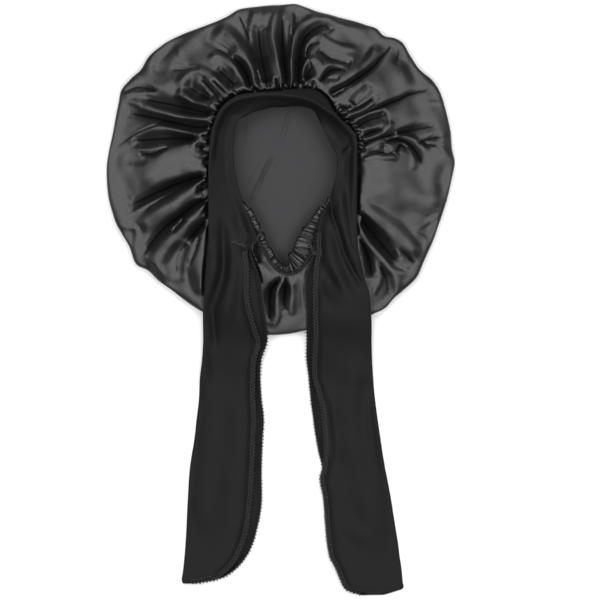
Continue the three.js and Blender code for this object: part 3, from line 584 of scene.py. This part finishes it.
def top_height(inward, depth):
    """The crown's smooth upper profile, at a distance in from the outline."""
    rest = 1 - np.minimum(inward / SHOULDER_REACH, 1)
    round_share = (1 - rest**SHOULDER_POWER) ** (1 / SHOULDER_POWER)
    # Where the way from the outline to the seam is short, the crest is lower and nearer to the seam.
    wide = smooth(45, 85, depth)
    crest_reach = CREST_REACH * mix(0.2, 1, wide)
    crest = mix(SEAM_HEIGHT, CREST_HEIGHT, wide)
    ramp = np.clip((inward - CLIMB_FROM) / (depth - crest_reach - CLIMB_FROM), 0, 1)
    climb = 0.5 * ramp + 0.5 * smooth(0, 1, ramp)
    dip = smooth(depth - crest_reach, depth, inward)
    return (
        EDGE_HEIGHT
        + (SHOULDER_HEIGHT - EDGE_HEIGHT) * round_share
        + (crest - SHOULDER_HEIGHT) * climb
        - (crest - SEAM_HEIGHT) * dip
    )


def plan_at(angle, radius):
    """X and Y at an angle and a radius about the folds' centre."""
    return FOLD_CENTRE[0] + radius * np.cos(angle), FOLD_CENTRE[1] + radius * np.sin(angle)


def ring_at(angle, radius, z):
    """A line of points round the folds' centre at one height."""
    return np.column_stack([*plan_at(angle, radius), np.full(len(radius), z)])


def crown_rows(depth):
    """How far in from the outline the rows of the upper layer lie, from the seam to the outline."""
    hidden = depth - 8
    rows = [mix(depth, hidden, k / HIDDEN_ROWS) for k in range(HIDDEN_ROWS)]
    rows += [mix(hidden, SHOULDER_REACH, share) for share in np.linspace(0, 1, FOLD_ROWS + 1)[:-1]]
    for turn in np.linspace(math.pi / 2, 0, SHOULDER_ROWS + 1):
        rows.append(SHOULDER_REACH * (1 - math.cos(turn)) ** 1.3 + 0 * depth)
    return np.array(rows)


def edge_stands(x, y, cover, inward, depth):
    """How far the gathered edge stands up under the arch of the band, except at its left corner."""
    stands = cover * mix(2.5, 4.5, smooth(15, 45, y)) * smooth(-20, 0, y)
    stands = stands * smooth(depth - 3, depth, inward)
    return stands * (1 - smooth(26, 36, y) * (1 - smooth(-38, -28, x)))


def fine_gathers(x, y, angle, beside):
    """The relief of the gathers beside the band, above a line on the right and another on the left."""
    random = np.random.default_rng(11)
    gathers = sum(np.sin(k * angle + random.uniform(0, 2 * math.pi)) for k in range(23, 77, 5)) / 2.3
    start = np.where(x > 0, 14, -44)
    bunched = mix(0.15, 1, smooth(start - 8, start + 8, y))
    bunched *= GATHER_HEIGHT * (1 - smooth(1, 10, beside)) * (1 + waves(*GATHER_WAVES)(x, y))
    return gathers * bunched


def crown_top(angle, edge):
    """The outer face of the crown's upper layer, from the seam to the outline."""
    depth = edge - seam_radius(angle)
    inward = crown_rows(depth)
    radius = edge - inward
    x, y = plan_at(angle, radius)
    cover, beside = cover_at(x, y)
    height = top_height(inward, depth)
    height = mix(height, np.minimum(height, PRESSED_HEIGHT), cover)
    height += edge_stands(x, y, cover, inward, depth)
    run, rise = np.gradient(radius, axis=0), np.gradient(height, axis=0)
    length = np.hypot(run, rise)
    normal_out, normal_up = -rise / length, run / length
    ridges, valleys, drawn = fold_height(x, y, FOLDS, TIP_FADE, STEEPEST_RIDGE, FREE_TIP_SHARE)
    room = np.clip((height - LOWEST_TOP) / FULL_VALLEYS, 0, 1)
    share = mix(0.3, 1, smooth(0, FOLD_FADE, inward))
    soft = waves(*LONG_WAVES)(x, y) + waves(*SHORT_WAVES)(x, y)
    soft += waves(*EDGE_WAVES)(x, y) * (1 - smooth(4, 26, inward))
    raised = (ridges - valleys * room + fine_gathers(x, y, angle, beside) + soft) * share * (1 - cover)
    raised = np.where(normal_up > 0.5, np.maximum(raised, LOWEST_TOP - height), raised)
    x += np.cos(angle) * normal_out * raised + drawn[0] * share * (1 - cover)
    y += np.sin(angle) * normal_out * raised + drawn[1] * share * (1 - cover)
    return np.stack([x, y, height + normal_up * raised], axis=-1)


def crown_under(angle, edge, top):
    """The outline turned under, and the flat lower layer almost to the middle."""
    lean = top[-1] - ring_at(angle, edge, EDGE_HEIGHT)
    rows = []
    for turn in np.linspace(0, math.pi / 2, UNDER_ROWS + 1)[1:]:
        rest = 1 - math.sin(turn)
        line = ring_at(angle, edge - UNDER_REACH * (1 - math.cos(turn)), EDGE_HEIGHT * rest)
        rows.append(line + lean * rest)
    for share in (0.8, 0.5, 0.2):
        rows.append(ring_at(angle, (edge - UNDER_REACH) * share, 0))
    under = np.array(rows)
    under[..., 2] = np.maximum(under[..., 2], 0)
    return under


def crown_inside(top):
    """The crown's inner face, coarser than the outer one and always below its folds."""
    every = INSIDE_EVERY
    low = top.copy()
    for shift in range(-every, every + 1):
        low[..., 2] = np.minimum(low[..., 2], np.roll(top[..., 2], shift, axis=1))
    lower = low.copy()
    for shift in range(1, every + 1):
        lower[shift:, :, 2] = np.minimum(lower[shift:, :, 2], low[:-shift, :, 2])
        lower[:-shift, :, 2] = np.minimum(lower[:-shift, :, 2], low[shift:, :, 2])
    lower[..., 2] -= SATIN_THICK
    rows = [lower[i, ::every] for i in range(0, len(top) - 8, every)]
    rows[0] = top[0, ::every] - [0, 0, SATIN_THICK]
    away = top[-1, ::every, 0:2] - FOLD_CENTRE
    radius = np.linalg.norm(away, axis=1)[:, None]
    ray = away / radius

    def ring(inset, z, share=1):
        return np.column_stack([FOLD_CENTRE + ray * (radius - inset) * share, np.full(len(ray), z)])

    rows += [ring(inset, z) for inset, z in INSIDE_RINGS]
    for share in FLOOR_SHARES:
        line = ring(8, SATIN_THICK, share)
        _, pleats, _ = fold_height(line[:, 0], line[:, 1], FLOOR_FOLDS, SMALL_TIP_FADE, STEEPEST_RIDGE)
        line[:, 2] += pleats
        rows.append(line)
    return np.array(rows)


def mesh_object(name, points, faces, slots, materials):
    """A smooth mesh object from points in millimetres, faces and the material slot of each face."""
    mesh = bpy.data.meshes.new(name)
    mesh.from_pydata((np.asarray(points) * MM).tolist(), [], faces)
    mesh.polygons.foreach_set("material_index", slots)
    mesh.polygons.foreach_set("use_smooth", [True] * len(mesh.polygons))
    mesh.update()
    obj = bpy.data.objects.new(name, mesh)
    bpy.context.scene.collection.objects.link(obj)
    for material in materials:
        mesh.materials.append(material)
    return obj


def numbers(grid, first=0):
    """The numbers of a grid's points."""
    return first + np.arange(grid[..., 0].size).reshape(grid.shape[:2])


def quads(*corners):
    """Faces from four grids of point numbers, one for each corner."""
    return np.stack(corners, axis=-1).reshape(-1, 4).tolist()


def wall(outer, inner, wrap):
    """Points and faces of a closed wall between two grids: the outer face, the inner face and the rims."""
    a = numbers(outer)
    b = a + a.size
    columns = a.shape[1]
    here = np.arange(columns if wrap else columns - 1)
    there = (here + 1) % columns
    faces = quads(a[:-1][:, here], a[1:][:, here], a[1:][:, there], a[:-1][:, there])
    faces += quads(b[:-1][:, there], b[1:][:, there], b[1:][:, here], b[:-1][:, here])
    faces += quads(a[0, there], b[0, there], b[0, here], a[0, here])
    faces += quads(a[-1, here], b[-1, here], b[-1, there], a[-1, there])
    if not wrap:
        faces += quads(a[:-1, 0], b[:-1, 0], b[1:, 0], a[1:, 0])
        faces += quads(a[1:, -1], b[1:, -1], b[:-1, -1], a[:-1, -1])
    return np.concatenate([outer.reshape(-1, 3), inner.reshape(-1, 3)]), faces


def make_crown(outside, inside):
    """The crown as one closed mesh: its outer face, its coarser inner face and the rim at the seam."""
    angle = np.arange(CROWN_COLUMNS) / CROWN_COLUMNS * 2 * math.pi
    edge = outline_radius(angle)
    top = crown_top(angle, edge)
    outer = np.concatenate([top, crown_under(angle, edge, top)])
    inner = crown_inside(top)
    a = numbers(outer)
    b = numbers(inner, a.size)
    poles = np.array([[*FOLD_CENTRE, 0], [*FOLD_CENTRE, SATIN_THICK]])
    points = np.concatenate([outer.reshape(-1, 3), inner.reshape(-1, 3), poles])
    under_pole, over_pole = len(points) - 2, len(points) - 1
    columns, inner_columns = a.shape[1], b.shape[1]
    faces, slots = [], []

    def add(made, slot):
        faces.extend(made)
        slots.extend([slot] * len(made))

    after, beyond = np.roll(a, -1, 1), np.roll(b, -1, 1)
    add(quads(a[:-1], a[1:], after[1:], after[:-1]), 0)
    add(quads(beyond[:-1], beyond[1:], b[1:], b[:-1]), 1)
    add([[a[-1, i], under_pole, after[-1, i]] for i in range(columns)], 0)
    add([[beyond[-1, i], over_pole, b[-1, i]] for i in range(inner_columns)], 1)
    rim = []
    for i in range(inner_columns):
        run = [int(a[0, (i * INSIDE_EVERY + k) % columns]) for k in range(INSIDE_EVERY + 1)]
        rim.append(run + [int(beyond[0, i]), int(b[0, i])])
    add(rim, 0)
    crown = mesh_object("satin_crown", points, faces, slots, [outside, inside])
    crown.data.set_sharp_from_angle(angle=math.radians(SHARP_FROM))
    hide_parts("crown")
    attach(crown, "root")


knit_waves = waves(*KNIT_WAVES)


def knit_relief(plan):
    """How far the knit stands up from its smooth shape at points in plan."""
    x, y = plan[:, 0], plan[:, 1]
    ridges, valleys, _ = fold_height(x, y, KNIT_FOLDS, SMALL_TIP_FADE, STEEPEST_KNIT)
    return ridges - valleys + knit_waves(x, y)


def lifted(fold_top):
    """One where the strip is off the table, nothing where it lies on it."""
    return smooth(0, 1.5, fold_top - STACK)


def front_relief(plan, fold_top, from_fold, from_edge):
    """The relief of the front leaf, which can't sink where the strip lies on the table and curls up
    along its cut edge."""
    relief = knit_relief(plan)
    lying = np.maximum(relief, -0.6 * LEAF_GAP) * smooth(0, 7, from_fold)
    curl = EDGE_CURL * (1 - smooth(0, EDGE_CURL_REACH, from_edge)) * np.clip(from_fold / FULL_CURL, 0, 1)
    return mix(lying, relief, lifted(fold_top)) + curl


def back_relief(plan, fold_top, width, from_edge):
    """The relief of the back leaf, which lies flat on the table and curls up along its cut edge."""
    curl = BACK_CURL * (1 - smooth(0, BACK_CURL_REACH, from_edge)) * smooth(15, 30, width)
    return knit_relief(plan) * lifted(fold_top) + curl


def strip_grids(per_row, across):
    """The outer and inner faces of the folded strip as grids of sections."""
    s = section_at(np.linspace(0, LAST_SECTION, LAST_SECTION * per_row + 1))
    fold, front, back = s[:, 0:2], s[:, 2:4], s[:, 4:6]
    fold_top, edge_top, bulge = s[:, 6], s[:, 7], s[:, 8]
    out = unit(fold - front)
    radius = STACK / 2
    crest = fold - out * radius
    turn = crest + out * bulge[:, None]
    slope_power = mix(0.9, 1.7, smooth(36, 38, fold_top))
    shares = np.linspace(1, 0, across)
    turns = np.linspace(70, -70, 9)

    def leaf(end, share, drop):
        plan = mix(crest, end, share)
        z = mix(fold_top, edge_top, share**slope_power) - drop
        width = np.linalg.norm(end - crest, axis=1)
        if end is front:
            relief = front_relief(plan, fold_top, share * width, (1 - share) * width)
        else:
            relief = back_relief(plan, fold_top, width, (1 - share) * width)
        return np.column_stack([plan, z + relief])

    def bend(r, degrees):
        plan = turn + out * r * math.cos(math.radians(degrees))
        z = fold_top - bulge - radius + r * math.sin(math.radians(degrees))
        return np.column_stack([plan, z + knit_relief(crest) * lifted(fold_top)])

    def face(thick):
        """The face that lies thick inside the strip's outer face, from the front edge to the back edge."""
        lines = [leaf(front, k, thick) for k in shares]
        lines += [bend(radius - thick, degrees) for degrees in turns]
        lines += [leaf(back, k, STACK - thick + (bulge if k == 0 else 0)) for k in shares[::-1]]
        return np.stack(lines, axis=1)

    return face(0), face(LEAF)


def evenly(points, spacing):
    """Points at equal steps along a line of points."""
    along = distances(points[:, 0:2])
    steps = np.linspace(0, along[-1], max(int(along[-1] / spacing), 2))
    return np.column_stack([np.interp(steps, along, column) for column in points.T])


def left_of(line):
    """Unit directions in plan to the left of a line of points."""
    tangent = unit(np.gradient(line, axis=0))
    return np.column_stack([-tangent[:, 1], tangent[:, 0]])


def stitch_line(first, last, front):
    """A function for places along one leaf's cut edge, from how far in and how far above the leaf they
    are, and how many there are."""
    s = section_at(np.linspace(first, last, 900))
    edge = s[:, 2:4] if front else s[:, 4:6]
    line = evenly(np.column_stack([edge, s[:, 0:2], s[:, 6:8]]), STITCH_PITCH / STITCH_PLACES)
    edge, fold, fold_top, edge_top = line[:, 0:2], line[:, 2:4], line[:, 4], line[:, 5]
    inward = left_of(edge)
    inward *= np.sign(np.sum(inward * (fold - edge), axis=1))[:, None]

    def at(inset, above):
        plan = edge + inward * np.broadcast_to(inset, len(edge))[:, None]
        if front:
            z = edge_top + front_relief(plan, fold_top, np.full(len(edge), FULL_CURL), np.maximum(inset, 0))
        else:
            width = np.linalg.norm(fold - edge, axis=1)
            z = edge_top - STACK + LEAF + back_relief(plan, fold_top, width, np.maximum(inset, 0))
        return np.column_stack([plan, z + above])

    return at, len(edge)


def tube(path, radius, sides):
    """Points and faces of a closed tube along a path."""
    tangent = unit(np.gradient(path, axis=0))
    side = unit(np.cross(tangent, [0, 0, 1]))
    up = np.cross(side, tangent)
    turn = np.arange(sides) / sides * 2 * math.pi
    ring = side[:, None] * np.cos(turn)[:, None] + up[:, None] * np.sin(turn)[:, None]
    points = (path[:, None] + radius * ring).reshape(-1, 3)
    index = np.arange(len(points)).reshape(len(path), sides)
    there = np.roll(index, -1, 1)
    faces = quads(index[:-1], index[1:], there[1:], there[:-1])
    return points, faces + [index[0].tolist(), index[-1][::-1].tolist()]


# Every thread is a path, its radius and its material slot.
def tie_threads():
    """The thread that loops over each leaf's edge, and the front leaf's needle line and row of teeth."""
    threads = []
    left_tie = (STITCH_FROM, LEFT_STITCHED)
    right_tie = (LAST_SECTION - RIGHT_STITCHED, LAST_SECTION - STITCH_FROM)
    for first, last in (left_tie, right_tie):
        for front in (True, False):
            at, count = stitch_line(first, last, front)
            random = np.random.default_rng(count)
            place = np.arange(count) % STITCH_PLACES
            loose = 1 + 0.26 * random.standard_normal(count)
            depth = FRONT_STITCH_DEPTH if front else BACK_STITCH_DEPTH
            inset = np.choose(place, [depth, 0.5 * depth, -STITCH_OVER, 0.45 * depth]) * loose
            above = np.choose(place, [0.1, 0.3, -0.25, 0.28])
            if not front:
                threads.append((at(inset, above), EDGE_THREAD, EDGE_SLOT))
                continue
            needle = at(depth + 0.5, np.choose(place, [-0.3, 0.2, 0.26, 0.2]))
            teeth = at(np.choose(place, [0.4, -0.2, -STITCH_OVER, -0.2]) * loose, above - 0.5)
            threads += [(at(inset, above), THREAD, LOOP_SLOT), (needle, THREAD, LOOP_SLOT)]
            threads.append((teeth, EDGE_THREAD, EDGE_SLOT))
    return threads


def casing_threads(random):
    """The threads that loop over the casing's edge."""
    start, stop = round(NAPE_FROM * SEAM_STEPS), round(NAPE_TO * SEAM_STEPS)
    seam = closed_curve(SEAM, SEAM_STEPS)[start + 4:stop - 4]
    middle = evenly(seam, STITCH_PITCH / 5)
    inward = left_of(middle)
    place = np.arange(len(middle)) % STITCH_PLACES
    threads = []
    for depth, lift, slot in CASING_STITCHES:
        loose = 1 + 0.3 * random.standard_normal(len(middle))
        inset = np.choose(place, [depth, 0.5 * depth, -0.4, 0.5 * depth]) * loose
        height = lift + np.choose(place, (0.0, 0.5, -0.6, 0.5)) + NAPE_MIDDLE_HEIGHT + NAPE_HALF_HEIGHT
        threads.append((np.column_stack([middle + inward * inset[:, None], height]), THREAD, slot))
    return threads


def tail_threads(random):
    """The loose tails: strands that stray about one line."""
    threads = []
    for line in THREAD_TAILS:
        tail = evenly(np.array(line, float), 0.8)
        for _ in range(TAIL_STRANDS):
            stray = random.standard_normal((len(tail), 3)) * (1, 1, 0.3)
            threads.append((tail + stray, 0.8 * THREAD, LOOP_SLOT))
    return threads


def make_stitches(loop_thread, edge_thread):
    """All the overlock thread as one mesh of thin tubes."""
    random = np.random.default_rng(8)
    points, faces, slots = [], [], []
    start = 0
    for path, radius, slot in tie_threads() + casing_threads(random) + tail_threads(random):
        made, made_faces = tube(path, radius, sides=5)
        points.append(made)
        faces.extend([[i + start for i in face] for face in made_faces])
        slots.extend([slot] * len(made_faces))
        start += len(made)
    threads = [loop_thread, edge_thread]
    stitches = mesh_object("overlock_stitches", np.concatenate(points), faces, slots, threads)
    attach(stitches, "root")


def make_band(knit):
    """The tie band: one strip of knit from one free end, round the opening, to the other."""
    points, faces = wall(*strip_grids(per_row=7, across=32), wrap=False)
    band = mesh_object("knit_tie_band", points, faces, [0] * len(faces), [knit])
    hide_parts("tie_band")
    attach(band, "root")


def make_nape(satin):
    """The gathered casing: a puckered tube just inside the crown's seam."""
    seam = closed_curve(SEAM, SEAM_STEPS)
    t = np.linspace(NAPE_FROM * SEAM_STEPS, NAPE_TO * SEAM_STEPS, NAPE_STEPS + 1)
    middle = np.column_stack([np.interp(t, np.arange(len(seam)), column) for column in seam.T])
    inward = left_of(middle)
    share = np.linspace(0, 1, NAPE_STEPS + 1)
    random = np.random.default_rng(3)

    def puckers(counts, scale):
        return sum(np.sin(2 * math.pi * k * share + random.uniform(0, 6)) for k in counts) / scale

    edge_pucker = puckers(counts=(21, 27, 34, 46), scale=2.4)
    inner_pucker = puckers(counts=(9, 12, 17), scale=2)
    creases = (1 - abs(np.sin(math.pi * 30 * share + 1.2 * inner_pucker))) ** 2.5
    spread = NAPE_SPREAD * smooth(0.35, 0.6, share) * (1 - smooth(0.7, 0.95, share))
    half_width = NAPE_HALF_WIDTH + spread + 0.25 * edge_pucker + 0.3 * inner_pucker
    centre = middle + inward * (NAPE_GAP + half_width)[:, None]
    turn = np.arange(NAPE_SIDES) / NAPE_SIDES * 2 * math.pi
    seam_side = 0.5 + 0.5 * np.cos(turn)
    up = np.sign(np.sin(turn)) * abs(np.sin(turn)) ** 0.7
    outer, inner = [], []
    for i in range(NAPE_STEPS + 1):
        relief = edge_pucker[i] * seam_side**1.5 + inner_pucker[i] * (1 - seam_side)
        pucker = NAPE_PUCKER * (relief - 1.3 * creases[i])
        lift = NAPE_HALF_HEIGHT + np.where(np.sin(turn) > 0, pucker, 0.3 * pucker)
        for rows, thick in ((outer, 0), (inner, SATIN_THICK)):
            plan = centre[i] - inward[i] * ((half_width[i] - thick) * np.cos(turn))[:, None]
            half_height = np.maximum(lift - thick, 0.2)
            rows.append(np.column_stack([plan, NAPE_MIDDLE_HEIGHT + half_height * up]))
    points, faces = wall(np.array(outer), np.array(inner), wrap=True)
    nape = mesh_object("nape_gathers", points, faces, [0] * len(faces), [satin])
    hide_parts("nape_casing")
    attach(nape, "root")


def material(name, color, roughness):
    made = bpy.data.materials.new(name)
    made.use_nodes = True
    nodes = made.node_tree.nodes
    shader = nodes["Principled BSDF"]
    shader.inputs["Base Color"].default_value = (*color, 1)
    shader.inputs["Roughness"].default_value = roughness
    return made, nodes, made.node_tree.links, shader


def cloth(name, color, roughness, specular, grains, strength, distance):
    """A material with the relief of one or more grains, each a scale and a detail of noise."""
    made, nodes, links, shader = material(name, color, roughness)
    shader.inputs["Specular IOR Level"].default_value = specular
    relief = None
    for scale, detail in grains:
        where = nodes.new("ShaderNodeTexCoord")
        noise = nodes.new("ShaderNodeTexNoise")
        noise.inputs["Scale"].default_value = scale
        noise.inputs["Detail"].default_value = detail
        links.new(where.outputs["Object"], noise.inputs["Vector"])
        height = noise.outputs["Fac"]
        if relief:
            both = nodes.new("ShaderNodeMath")
            both.operation = "ADD"
            links.new(relief, both.inputs[0])
            links.new(height, both.inputs[1])
            height = both.outputs["Value"]
        relief = height
    bump = nodes.new("ShaderNodeBump")
    bump.inputs["Strength"].default_value = strength
    bump.inputs["Distance"].default_value = distance
    links.new(relief, bump.inputs["Height"])
    links.new(bump.outputs["Normal"], shader.inputs["Normal"])
    return made


def satin_outside():
    """The shiny side of the satin, with small dents and a fine weave."""
    color, grains = (0.0015, 0.0015, 0.0017), [(160, 4), (1100, 3)]
    return cloth("satin_outside", color, 0.43, specular=0.6, grains=grains, strength=0.3, distance=0.0006)


def satin_inside():
    """The dull wrong side of the satin."""
    color, grains = (0.026, 0.026, 0.028), [(900, 3)]
    return cloth("satin_inside", color, 0.7, specular=0.35, grains=grains, strength=0.2, distance=0.0003)


def knit_cloth():
    """Matte black stretch knit, with a very fine grain."""
    color, grains = (0.0035, 0.0035, 0.0037), [(1400, 2)]
    return cloth("knit_cloth", color, 0.64, specular=0.18, grains=grains, strength=0.4, distance=0.0004)


def thread(name, color):
    """Spun thread, rough along its length."""
    return cloth(name, color, 0.6, specular=0.25, grains=[(2600, 2)], strength=0.4, distance=0.0002)


def make_stage():
    """The pale table, and a dark world so that only the softboxes light the scene."""
    bpy.ops.mesh.primitive_plane_add(size=8, location=(0, 0, -0.0003))
    table = bpy.context.object
    table.name = "table_top"
    table.data.materials.append(material("pale_table", (0.92, 0.92, 0.92), 0.9)[0])
    world = bpy.data.worlds.new("studio")
    world.use_nodes = True
    world.node_tree.nodes["Background"].inputs["Strength"].default_value = 0.0
    bpy.context.scene.world = world
    bpy.context.scene.view_settings.view_transform = "Standard"


def area_light(name, location, size, energy):
    """A square softbox that faces the middle of the crown."""
    data = bpy.data.lights.new(name, "AREA")
    data.shape = "SQUARE"
    data.size = size
    data.energy = energy
    light = bpy.data.objects.new(name, data)
    bpy.context.scene.collection.objects.link(light)
    light.location = location
    light.rotation_euler = Vector(location).to_track_quat("Z", "Y").to_euler()
    light.visible_camera = False


def make_lights():
    """Even light from all sides."""
    for side, x, y in (("left", -1, 0), ("right", 1, 0), ("back", 0, 1), ("front", 0, -1)):
        for row, out, height, size, energy in SOFTBOXES:
            area_light(row + side, (out * x, out * y, height), size, energy)


def make_camera():
    """A camera that looks straight down."""
    data = bpy.data.cameras.new("camera")
    data.sensor_width = 36
    data.lens = data.sensor_width * (CAMERA_PLACE[2] - FRAME_HEIGHT) / FRAME_WIDTH
    camera = bpy.data.objects.new("camera", data)
    bpy.context.scene.collection.objects.link(camera)
    camera.location = CAMERA_PLACE
    bpy.context.scene.camera = camera


make_stage()
make_camera()
make_lights()

satin = satin_outside()
make_crown(satin, satin_inside())
make_band(knit_cloth())
make_stitches(thread("loop_thread", (0.028, 0.028, 0.03)), thread("edge_thread", (0.006, 0.006, 0.0065)))
make_nape(satin)
